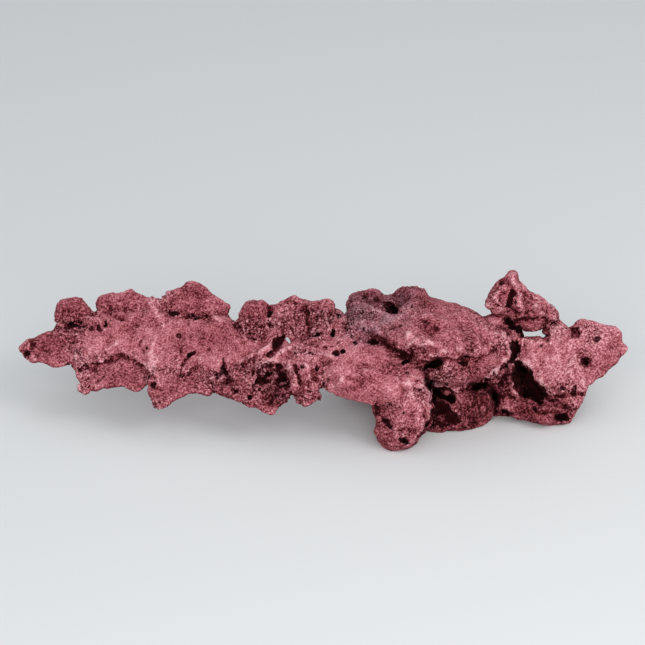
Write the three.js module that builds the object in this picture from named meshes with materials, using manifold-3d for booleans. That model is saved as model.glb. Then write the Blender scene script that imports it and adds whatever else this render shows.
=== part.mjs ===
// Aquarium reef rock: a long arm of broken reef slabs that reaches out to the left of a heavy
// stack of boulders, all bedded in one continuous web of coloured mortar.
// Millimetres, +Z up, +X along the arm towards the stack, standing on z = 0.
import * as THREE from 'three';
import { mergeVertices } from 'three/addons/utils/BufferGeometryUtils.js';
import { ImprovedNoise } from 'three/addons/math/ImprovedNoise.js';
import Module from 'manifold-3d';

// Driving dimensions
const faceLean = 30; // degrees that the show face leans back from upright
const faceHeight = 65; // height of the show face's origin above the surface it stands on
const shelfFall = 0.45; // how fast the arm falls back from the show face on its way up
const shelfLevel = 10; // where on the show face the arm crosses it
const shelfSwing = 0.05; // how fast the arm comes forward on its way to the stack
const shelfRoot = -150; // middle of the arm's length
const slabThick = 11; // a broken reef slab
const webThick = 15; // mortar web round the roots of the slabs
const seatGap = 0.4; // clearance between two pieces that bed on each other
const floorBlock = 800; // side of the block that cuts the underside flat

// Colours of the dusty coats
const boulderPink = '#a05c66';
const slabRed = '#8e4a55';
const mortarPink = '#b8707c';

const wasm = await Module();
wasm.setup();
const grain = new ImprovedNoise();

// The show face carries the outlines: u runs right, v up the leaning face, w straight out of it.
const showFace = new THREE.Matrix4()
  .makeTranslation(0, 0, faceHeight)
  .multiply(new THREE.Matrix4().makeRotationX(THREE.MathUtils.degToRad(90 - faceLean)));

// How far out of the show face the middle of the arm lies
function shelf(u, v) {
  return -shelfFall * (v - shelfLevel) + shelfSwing * (u - shelfRoot);
}

// Repeatable random numbers from 0 to 1
function dice(seed) {
  let state = seed * 7919 + 17;
  return () => {
    state = (state * 16807) % 2147483647;
    return state / 2147483647;
  };
}

function closed(geometry) {
  geometry.deleteAttribute('normal');
  geometry.deleteAttribute('uv');
  return mergeVertices(geometry, 1e-4);
}

// The rings of a slab from the middle of its face, over the rim, to the middle of its back:
// each is a share of the way out to the rim and a share of half the slab's thickness.
const slabRings = [[0, 1], [0.62, 0.9], [1, 0.42], [1, -0.42], [0.62, -0.9], [0, -1]];
const wideSlabRings = [
  [0, 1], [0.4, 0.96], [0.74, 0.84], [1, 0.42], [1, -0.42], [0.74, -0.84], [0.4, -0.96], [0, -1],
];
const slabLump = 16; // size of the lumps on a slab
const lumpHeight = 2; // height of the lumps, in units of the slab's roughness
const warpHeight = 1.5; // how far the whole slab warps, in the same units
const backDome = 0.7; // the back of a domed slab swells less than its face

// A broken slab: a sphere whose rings are laid out to an outline on the show face, blunt at the rim.
// above is its distance from the arm's middle, out replaces that with a distance out of the face,
// and tip tilts it along u and v. ribs is the spacing of ridges that run down it.
function slab(spec) {
  const { outline, above = 0, out, tip = [0, 0], thick = slabThick, rough = 1.3, dome = 0, seed } = spec;
  const { fine = 1, ribs, wide } = spec;
  const rings = wide ? wideSlabRings : slabRings;
  const points = outline.map(([u, v]) => new THREE.Vector3(u, v, 0));
  if (THREE.ShapeUtils.isClockWise(points)) points.reverse();
  const rim = new THREE.CatmullRomCurve3(points, true, 'centripetal').getPoints(points.length * fine);
  const centre = points.reduce((sum, point) => sum.add(point), new THREE.Vector3());
  centre.divideScalar(points.length);
  const shape = new THREE.SphereGeometry(1, rim.length - 1, rings.length - 1);
  rings.forEach(([reach, height], row) => {
    const side = Math.sign(height);
    const swell = side * dome * (1 - reach ** 2) * (side > 0 ? 1 : backDome);
    rim.forEach((edge, column) => {
      const du = (edge.x - centre.x) * reach;
      const dv = (edge.y - centre.y) * reach;
      const u = centre.x + du;
      const v = centre.y + dv;
      const lump = grain.noise(u / slabLump, v / slabLump, seed + side * 3.3) * lumpHeight;
      const warp = grain.noise(u / slabLump, v / slabLump, seed + 9.7) * warpHeight;
      const ridge = ribs ? Math.cos((du / ribs) * 2 * Math.PI) * side : 0;
      const middle = (out ?? shelf(u, v) + above) + tip[0] * du + tip[1] * dv;
      const w = middle + (height * thick) / 2 + swell + (lump + warp + ridge) * rough;
      shape.attributes.position.setXYZ(row * rim.length + column, u, v, w);
    });
  });
  return closed(shape).applyMatrix4(showFace);
}

const roundness = 0.35; // 0 is a stone of flat faces, 1 is a ball
const lumpsAround = 2.3; // how close the lumps on a boulder lie
const knobsAround = 5.1; // how close the smaller knobs on it lie

// A boulder: a sphere cut back by random planes and roughened, then stretched and turned.
function boulder({ at, size, turn = [0, 0, 0], detail = 3, planes = 13, rough = 0.09, seed }) {
  const roll = dice(seed);
  const facets = Array.from({ length: planes }, () => ({
    normal: new THREE.Vector3(roll() - 0.5, roll() - 0.5, roll() - 0.5).normalize(),
    reach: 0.76 + 0.22 * roll(),
  }));
  const turned = new THREE.Euler(...turn.map(THREE.MathUtils.degToRad));
  const shape = closed(new THREE.IcosahedronGeometry(1, detail));
  const positions = shape.attributes.position;
  const point = new THREE.Vector3();
  for (let i = 0; i < positions.count; i += 1) {
    point.fromBufferAttribute(positions, i);
    const cut = facets.reduce((least, { normal, reach }) => {
      const facing = normal.dot(point);
      return facing > 0.05 ? Math.min(least, reach / facing) : least;
    }, 1.08);
    const [lx, ly, lz] = point.toArray().map((side) => side * lumpsAround);
    const [kx, ky, kz] = point.toArray().map((side) => side * knobsAround);
    const lump = grain.noise(lx + seed, ly, lz) + grain.noise(kx, ky + seed, kz) / 2;
    point.multiplyScalar(cut * (1 - roundness) + roundness + lump * rough);
    point.set(point.x * size[0], point.y * size[1], point.z * size[2]);
    point.applyEuler(turned).add(new THREE.Vector3(...at));
    positions.setXYZ(i, point.x, point.y, point.z);
  }
  return shape;
}

// A pit, hole or crevice: a small stone shape pushed into the show face.
function hollow({ at, size, turn = 0, seed = 1 }) {
  const shape = boulder({ at: [0, 0, 0], size, turn: [0, 0, turn], detail: 0, planes: 6, rough: 0.3, seed });
  return shape.translate(...at).applyMatrix4(showFace);
}

function solidOf(geometry) {
  return new wasm.Manifold(
    new wasm.Mesh({
      numProp: 3,
      vertProperties: new Float32Array(geometry.attributes.position.array),
      triVerts: new Uint32Array(geometry.index.array),
    }),
  );
}

function geometryOf(solid) {
  const mesh = solid.getMesh();
  const geometry = new THREE.BufferGeometry();
  geometry.setAttribute('position', new THREE.BufferAttribute(new Float32Array(mesh.vertProperties), 3));
  geometry.setIndex(new THREE.BufferAttribute(new Uint32Array(mesh.triVerts), 1));
  return geometry;
}

// The same shape with every vertex pushed out by the seat gap, to cut its neighbours with
function seatOf(geometry) {
  const seat = geometry.clone();
  seat.computeVertexNormals();
  const positions = seat.attributes.position;
  const normals = seat.attributes.normal;
  const point = new THREE.Vector3();
  const outward = new THREE.Vector3();
  for (let i = 0; i < positions.count; i += 1) {
    outward.fromBufferAttribute(normals, i);
    point.fromBufferAttribute(positions, i).addScaledVector(outward, seatGap);
    positions.setXYZ(i, point.x, point.y, point.z);
  }
  return seat;
}

function joined(shapes) {
  return shapes.map(solidOf).reduce((whole, solid) => whole.add(solid));
}

function largestBody(solid) {
  return solid.decompose().reduce((best, body) => (body.volume() > best.volume() ? body : best));
}

// Boulders of the stack, in the rock's own frame. One boulder may be a cluster of grown-together lumps.
const boulders = {
  main_boulder: [
    { at: [124, 3, 84], size: [67, 54, 31], turn: [0, 14.5, 0], detail: 4, rough: 0.14, seed: 75 },
    { at: [160, -8, 70], size: [27, 38, 19], turn: [0, 20, 0], detail: 2, rough: 0.12, seed: 76 },
  ],
  dome_rock: [
    { at: [62, 22, 87], size: [49, 40, 28], detail: 3, rough: 0.1, seed: 66 },
    { at: [46, 47, 98], size: [23, 20, 18], detail: 1, rough: 0.12, seed: 69 },
    { at: [89, 50, 103], size: [20, 17, 15], detail: 1, rough: 0.12, seed: 72 },
  ],
  foot_boulder: [
    { at: [80, -49, 37], size: [29, 26, 32], detail: 2, rough: 0.14, seed: 78 },
    { at: [76, -55, 17], size: [24, 20, 25], detail: 2, rough: 0.14, seed: 79 },
  ],
  middle_rock: [
    { at: [142, -6, 22], size: [34, 33, 40], detail: 2, rough: 0.14, seed: 81 },
    { at: [113, -17, 10], size: [21, 24, 19], detail: 1, rough: 0.12, seed: 82 },
  ],
  layered_rock: [
    { at: [181, 13, 22], size: [22, 30, 38], turn: [0, 8, 0], detail: 2, rough: 0.16, seed: 84 },
  ],
  back_boulder: [
    { at: [112, 50, 42], size: [60, 38, 47], detail: 2, rough: 0.14, seed: 87 },
    { at: [58, 44, 30], size: [38, 32, 36], detail: 2, rough: 0.14, seed: 88 },
  ],
  prop_rock: [
    { at: [222, 24, 24], size: [31, 22, 40], turn: [0, -8, 0], detail: 2, rough: 0.16, seed: 89 },
  ],
};

// Slabs, each with its outline on the show face. The arm's come first, from its tip to the stack.
const slabs = {
  tip_slab: {
    outline: [
      [-305, 10], [-300, 18], [-293, 20], [-282, 22], [-274, 26], [-266, 33], [-252, 37], [-238, 28],
      [-232, 14], [-238, 4], [-249, -3], [-259, -8], [-266, -9], [-274, -6], [-281, -3], [-290, -4],
      [-299, 1],
    ],
    above: 3, tip: [-0.12, 0.1], wide: true, seed: 21,
  },
  round_slab: {
    outline: [
      [-270, 46], [-269, 54], [-261, 59], [-251, 62], [-243, 60], [-238, 55], [-231, 46], [-233, 36],
      [-244, 29], [-258, 31], [-269, 37],
    ],
    above: 3, tip: [0, 0.5], thick: 12, seed: 24,
  },
  rear_slab: {
    outline: [
      [-229, 52], [-227, 60], [-216, 64], [-203, 64], [-191, 68], [-184, 64], [-178, 60], [-170, 61],
      [-165, 55], [-170, 42], [-188, 34], [-206, 33], [-220, 40],
    ],
    above: 3, tip: [0, 0.5], seed: 27,
  },
  peak_slab: {
    outline: [
      [-167, 55], [-158, 62], [-149, 67], [-143, 71], [-137, 75], [-127, 75], [-119, 72], [-111, 62],
      [-101, 57], [-94, 52], [-95, 41], [-104, 34], [-126, 30], [-146, 32], [-161, 43],
    ],
    above: 4, tip: [-0.05, 0.55], thick: 12, wide: true, seed: 30,
  },
  rear_block: {
    outline: [
      [-86, 42], [-79, 55], [-73, 58], [-59, 57], [-55, 52], [-52, 40], [-52, 26], [-64, 16],
      [-80, 18], [-88, 30],
    ],
    above: 5, tip: [0, 0.3], thick: 17, rough: 2.2, seed: 33,
  },
  rear_middle_slab: {
    outline: [
      [-54, 52], [-46, 55], [-37, 61], [-29, 63], [-24, 58], [-12, 57], [-2, 58], [9, 57], [12, 49],
      [10, 40], [12, 26], [0, 16], [-18, 12], [-33, 13], [-44, 24], [-53, 38],
    ],
    above: 9, tip: [0.1, 0.25], thick: 15, rough: 2.2, wide: true, seed: 36,
  },
  front_slab: {
    outline: [
      [-252, -9], [-247, -14], [-244, -24], [-243, -32], [-238, -36], [-230, -32], [-221, -29],
      [-210, -29], [-199, -28], [-190, -31], [-183, -33], [-178, -30], [-173, -24], [-172, -8],
      [-186, 6], [-205, 10], [-226, 8], [-246, 1],
    ],
    above: -1, tip: [0, -0.1], thick: 12, wide: true, seed: 39,
  },
  front_point_slab: {
    outline: [
      [-174, -22], [-172, -35], [-168, -46], [-163, -52], [-157, -49], [-150, -43], [-141, -38],
      [-133, -35], [-122, -34], [-111, -36], [-104, -20], [-116, -2], [-136, 4], [-156, 0], [-170, -8],
    ],
    above: 2, tip: [0.03, -0.18], thick: 12, rough: 1.8, wide: true, seed: 42,
  },
  hollow_slab: {
    outline: [
      [-112, -33], [-103, -36], [-95, -36], [-83, -42], [-69, -47], [-58, -53], [-51, -55], [-43, -48],
      [-30, -34], [-24, -16], [-45, -2], [-60, 3], [-80, 3], [-98, -4], [-112, -18],
    ],
    above: 2, tip: [0.08, -0.12], thick: 15, rough: 2.2, wide: true, seed: 45,
  },
  ribbed_lobe: {
    outline: [
      [-34, -30], [-28, -37], [-22, -43], [-12, -46], [-7, -42], [-2, -36], [-1, -26], [2, -12],
      [-6, 2], [-20, 6], [-33, 0], [-38, -15],
    ],
    above: 14, tip: [0.2, 0.2], thick: 17, fine: 2, rough: 1.6, ribs: 11, wide: true, seed: 48,
  },
  spire_rock: {
    outline: [
      [163, 54], [169, 64], [172, 70], [174, 76], [182, 80], [188, 86], [193, 85], [194, 79],
      [203, 70], [215, 61], [228, 52], [236, 44], [236, 38], [221, 31], [210, 26], [199, 28],
      [192, 34], [183, 40], [170, 45],
    ],
    out: -8, tip: [-0.25, 0.05], thick: 26, rough: 2.6, dome: 4, wide: true, seed: 63,
  },
  knuckle_rock: {
    outline: [[222, 26], [226, 36], [237, 38], [243, 33], [249, 22], [244, 12], [232, 9], [224, 14]],
    out: -23, thick: 20, rough: 2, dome: 3, seed: 60,
  },
  wing_slab: {
    outline: [
      [196, 10], [202, 21], [216, 21], [230, 17], [243, 24], [252, 31], [261, 38], [270, 36],
      [281, 34], [291, 32], [300, 25], [301, 15], [306, 8], [300, 2], [294, -4], [286, -10],
      [282, -17], [273, -21], [267, -27], [261, -40], [254, -52], [240, -46], [224, -34], [216, -26],
      [207, -11], [194, -4],
    ],
    out: -16, tip: [0, -0.3], thick: 15, rough: 2, dome: 2, wide: true, seed: 54,
  },
  skirt_slab: {
    outline: [
      [183, -42], [200, -43], [222, -38], [244, -34], [255, -48], [251, -61], [247, -66], [230, -66],
      [215, -65], [204, -61], [190, -60], [180, -52],
    ],
    out: -14, tip: [0, -0.15], thick: 18, rough: 2.2, dome: 3, wide: true, seed: 57,
  },
};

// Mortar: rounded patches that run into each other along the arm, and dabs between the boulders
const webPatches = [
  {
    outline: [
      [-262, 22], [-242, 38], [-226, 47], [-198, 46], [-178, 50], [-168, 30], [-172, 5], [-188, 0],
      [-212, 2], [-238, 1], [-256, 7],
    ],
    seed: 3,
  },
  {
    outline: [
      [-200, 38], [-178, 54], [-164, 57], [-148, 46], [-128, 40], [-108, 38], [-106, 15], [-112, -15],
      [-138, -26], [-158, -24], [-176, -20], [-190, 0], [-200, 15],
    ],
    seed: 5,
  },
  {
    outline: [
      [-134, 36], [-110, 41], [-94, 40], [-80, 35], [-64, 34], [-52, 28], [-60, 8], [-76, -2],
      [-98, -18], [-124, -24], [-138, 0], [-139, 20],
    ],
    seed: 8,
  },
  {
    outline: [
      [-84, 2], [-64, 12], [-45, 17], [-20, 18], [10, 20], [30, 14], [30, -25], [6, -30], [-18, -26],
      [-38, -22], [-54, -18], [-76, -14],
    ],
    above: 4, tip: [0.15, 0], thick: 19, seed: 12,
  },
  {
    outline: [
      [-70, 34], [-54, 44], [-38, 44], [-16, 42], [2, 46], [16, 46], [26, 36], [24, 12], [2, 8],
      [-26, 6], [-50, 6], [-68, 18],
    ],
    above: 4, tip: [0.12, 0], thick: 13, seed: 14,
  },
  {
    outline: [
      [-6, 8], [12, 20], [35, 24], [62, 16], [84, 2], [100, -16], [96, -34], [75, -44], [52, -44],
      [34, -41], [19, -36], [3, -29], [-6, -12],
    ],
    out: 33, tip: [0.1, -0.35], thick: 26, rough: 2.4, dome: 6, seed: 51,
  },
];
const neckPatch = {
  outline: [
    [146, 33], [158, 40], [180, 46], [197, 36], [202, 20], [195, 4], [178, -6], [158, -2], [146, 12],
  ],
  out: -14, tip: [-0.45, -0.2], thick: 40, rough: 2.4, dome: 4, seed: 18,
};

// Holes and crevices on the show face: at [u, v, w] with half-sizes along u, v and w
const hollows = [
  { at: [-34, 17, 0], size: [4.5, 5, 30], turn: 35 },
  { at: [-44, 16, 8], size: [4, 12, 12], turn: -35, seed: 2 },
  { at: [-58, -24, 27], size: [8, 6, 8], seed: 3 },
  { at: [-40, -22, 30], size: [7, 7, 8], seed: 4 },
  { at: [-71, -31, 31], size: [5, 6, 8], seed: 5 },
  { at: [-221, 32, 4], size: [4, 6, 9], seed: 6 },
  { at: [-143, 38, 4], size: [4, 3.5, 10], seed: 7 },
  { at: [-117, 34, 4], size: [5, 4, 10], seed: 8 },
  { at: [-135, 2, 16], size: [3, 6, 10], turn: -40, seed: 9 },
  { at: [-9, 13, 24], size: [9, 3.5, 12], seed: 10 },
  { at: [49, 17, 42], size: [7, 5, 10], seed: 11 },
  { at: [32, 15, 42], size: [4, 4, 10], seed: 12 },
  { at: [110, -5, 52], size: [12, 6, 16], turn: 10, seed: 13 },
  { at: [141, 0, 50], size: [7, 4, 10], seed: 14 },
  { at: [180, 12, 30], size: [7, 9, 10], seed: 15 },
  { at: [81, -3, 50], size: [5, 4, 10], seed: 16 },
  { at: [63, -62, 60], size: [5, 5, 9], seed: 17 },
  { at: [80, -80, 52], size: [7, 4, 9], seed: 18 },
  { at: [174, -38, -4], size: [7, 9, 12], seed: 19 },
  { at: [236, -58, 2], size: [8, 7, 9], seed: 20 },
  { at: [264, -4, -6], size: [8, 4, 8], turn: 40, seed: 21 },
  { at: [275, 18, -12], size: [4, 4, 8], seed: 22 },
];

const underside = closed(new THREE.BoxGeometry(floorBlock, floorBlock, floorBlock));
underside.translate(0, 0, -floorBlock / 2);
const cuts = joined([underside, ...hollows.map(hollow)]);

// Each stone is cut back to bed on the stones before it, and the mortar fills round them all.
const pieces = [];

function bed(name, shapes, colour) {
  const free = pieces.reduce((rest, other) => rest.subtract(other.seat), joined(shapes).subtract(cuts));
  pieces.push({ name, solid: largestBody(free), seat: joined(shapes.map(seatOf)), colour });
}

Object.entries(boulders).forEach(([name, lumps]) => bed(name, lumps.map(boulder), boulderPink));
Object.entries(slabs).forEach(([name, spec]) => bed(name, [slab(spec)], slabRed));
const dab = { thick: webThick, rough: 1, dome: 1.5 };
bed('arm_mortar', webPatches.map((patch) => slab({ ...dab, ...patch })), mortarPink);
bed('neck_mortar', [slab({ ...dab, ...neckPatch })], mortarPink);

const stones = new THREE.Group();
pieces.forEach(({ name, solid, colour }) => {
  const geometry = geometryOf(solid);
  geometry.computeBoundingBox();
  const centre = geometry.boundingBox.getCenter(new THREE.Vector3());
  geometry.translate(-centre.x, -centre.y, -centre.z);
  const finish = new THREE.MeshStandardMaterial({ color: colour, roughness: 0.95, metalness: 0 });
  const mesh = new THREE.Mesh(geometry, finish);
  mesh.name = name;
  mesh.position.copy(centre);
  stones.add(mesh);
});

// The origin is on the standing surface, under the middle of the whole rock
const extent = new THREE.Box3().setFromObject(stones);
const middle = extent.getCenter(new THREE.Vector3());
stones.position.set(-middle.x, -middle.y, -extent.min.z);
const reefRock = new THREE.Group();
reefRock.add(stones);

export default reefRock;
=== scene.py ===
import math

import bmesh
import bpy
import numpy as np
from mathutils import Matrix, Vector
from mathutils.bvhtree import BVHTree


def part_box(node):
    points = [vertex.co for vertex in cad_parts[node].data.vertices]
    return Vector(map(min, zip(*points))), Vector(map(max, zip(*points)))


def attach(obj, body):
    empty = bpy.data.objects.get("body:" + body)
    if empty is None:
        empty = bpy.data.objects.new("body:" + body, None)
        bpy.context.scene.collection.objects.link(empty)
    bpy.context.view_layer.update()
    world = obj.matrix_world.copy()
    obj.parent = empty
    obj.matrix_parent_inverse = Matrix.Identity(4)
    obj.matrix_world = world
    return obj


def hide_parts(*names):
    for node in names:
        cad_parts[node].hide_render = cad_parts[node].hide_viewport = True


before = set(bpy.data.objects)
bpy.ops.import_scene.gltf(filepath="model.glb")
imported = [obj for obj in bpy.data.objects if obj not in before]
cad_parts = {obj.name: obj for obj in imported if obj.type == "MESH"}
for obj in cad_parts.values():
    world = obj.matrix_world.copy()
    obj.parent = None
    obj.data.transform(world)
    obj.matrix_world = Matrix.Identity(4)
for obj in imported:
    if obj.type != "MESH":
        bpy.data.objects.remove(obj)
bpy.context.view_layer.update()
mm = 0.001

# The show face leans back. On it, in millimetres, u runs along the rock, v up the face and w out of it.
faceLean = math.radians(30)
tipCorner = Vector((-305, -9.22, -7.74)) * mm  # the tip slab's lowest corner, from the face's origin
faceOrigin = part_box("tip_slab")[0] - tipCorner
faceMiddle = (-0.5, 35.5)
eyeAway = 3000
alongFace = Vector((1, 0, 0))
upFace = Vector((0, math.sin(faceLean), math.cos(faceLean)))
outOfFace = Vector((0, -math.cos(faceLean), math.sin(faceLean)))


def onFace(u, v, w=0):
    return faceOrigin + (alongFace * u + upFace * v + outOfFace * w) * mm


def faceSpots(points):  # u and v of many points, as an eye in front of the face sees them
    place = (points - np.array(faceOrigin)) / mm
    closer = eyeAway / (eyeAway - place @ np.array(outOfFace))
    spots = np.stack([place @ np.array(alongFace), place @ np.array(upFace)], axis=1)
    return (spots - faceMiddle) * closer[:, None] + faceMiddle


# Noise. Every draw comes from a whole-number seed.
slopes = np.array([
    (1, 1, 0), (-1, 1, 0), (1, -1, 0), (-1, -1, 0), (1, 0, 1), (-1, 0, 1), (1, 0, -1), (-1, 0, -1),
    (0, 1, 1), (0, -1, 1), (0, 1, -1), (0, -1, -1), (1, 1, 0), (-1, 1, 0), (0, -1, 1), (0, -1, -1),
], float)
corners = [(x, y, z) for x in (0, 1) for y in (0, 1) for z in (0, 1)]
aroundCell = [(x, y, z) for x in (-1, 0, 1) for y in (-1, 0, 1) for z in (-1, 0, 1)]


def scrambled(cells, seed):
    x = cells[:, 0] * 73856093 ^ cells[:, 1] * 19349663 ^ cells[:, 2] * 83492791 ^ seed * 1640531527
    x &= 0xFFFFFFFF
    x = ((x >> 15) ^ x) * 0x2C1B3C6D & 0xFFFFFFFF
    x = ((x >> 12) ^ x) * 0x297A2D39 & 0xFFFFFFFF
    return (x >> 15) ^ x


def celled(points, size):  # each point's place in a lattice of that size, and its cell
    place = points / size + 100.5
    return place, np.floor(place).astype(np.int64)


def thrown(dice):  # three draws from 0 to 1
    return np.stack([(dice >> shift & 255) / 255 for shift in (0, 8, 16)], axis=1)


def lumps(points, size, seed):  # smooth noise from about -1 to 1, with lumps of that size
    place, cells = celled(points, size)
    inside = place - cells
    ease = inside ** 3 * (inside * (inside * 6 - 15) + 10)
    total = np.zeros(len(points))
    for corner in corners:
        step = np.array(corner)
        weight = np.prod(np.where(step == 1, ease, 1 - ease), axis=1)
        slope = slopes[scrambled(cells + step, seed) & 15]
        total += weight * np.einsum("ij,ij->i", slope, inside - step)
    return total * 1.3


def pores(points, size, seed, share, small, large):  # 1 in the middle of a pore, 0 outside
    place, cells = celled(points, size)
    deepest = np.zeros(len(points))
    for step in aroundCell:
        cell = cells + np.array(step)
        jitter = thrown(scrambled(cell, seed))
        radius = small + (large - small) * (scrambled(cell, seed + 1) & 255) / 255
        here = (scrambled(cell, seed + 2) & 1023) / 1023 < share
        reach = np.linalg.norm(cell + jitter - place, axis=1) * size / radius
        deepest = np.maximum(deepest, np.where(here, np.clip(1.25 - reach, 0, 1), 0))
    return deepest


def flakes(points, size, seed):  # broken plates: the height across each plate, and 1 along the plate's edge
    place, cells = celled(points, size)
    first = np.full(len(points), 9.0)
    second = np.full(len(points), 9.0)
    height = np.zeros(len(points))
    for step in aroundCell:
        cell = cells + np.array(step)
        tilt = scrambled(cell, seed + 1)
        away = place - cell - thrown(scrambled(cell, seed))
        slope = np.stack([(tilt >> shift & 255) / 127.5 - 1 for shift in (0, 8, 16)], axis=1)
        reach = np.linalg.norm(away, axis=1)
        nearer = reach < first
        second = np.minimum(second, np.maximum(first, reach))
        here = np.einsum("ij,ij->i", away, slope) + (tilt >> 20 & 255) / 255 - 0.5
        height = np.where(nearer, here, height)
        first = np.minimum(first, reach)
    return height, 1 - eased(second - first, 0, 0.22)


def eased(value, low, high):
    step = np.clip((value - low) / (high - low), 0, 1)
    return step * step * (3 - 2 * step)


def meshPoints(mesh):
    points = np.empty(len(mesh.vertices) * 3)
    mesh.vertices.foreach_get("co", points)
    return points.reshape(-1, 3)


def meshNormals(mesh):
    normals = np.empty(len(mesh.vertices) * 3)
    mesh.vertex_normals.foreach_get("vector", normals)
    return normals.reshape(-1, 3)


def moveTo(mesh, points):
    mesh.vertices.foreach_set("co", points.ravel())
    mesh.update()


def applied(obj):
    graph = bpy.context.evaluated_depsgraph_get()
    mesh = bpy.data.meshes.new_from_object(obj.evaluated_get(graph))
    old = obj.data
    obj.modifiers.clear()
    obj.data = mesh
    bpy.data.meshes.remove(old)


def remesh(obj, voxel):
    modifier = obj.modifiers.new("remesh", "REMESH")
    modifier.mode = "VOXEL"
    modifier.voxel_size = voxel
    modifier.use_smooth_shade = True
    applied(obj)


def smooth(obj, times):
    modifier = obj.modifiers.new("smooth", "SMOOTH")
    modifier.factor = 0.5
    modifier.iterations = times
    applied(obj)


def newObject(name, mesh):
    obj = bpy.data.objects.new(name, mesh)
    bpy.context.scene.collection.objects.link(obj)
    return obj


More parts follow.
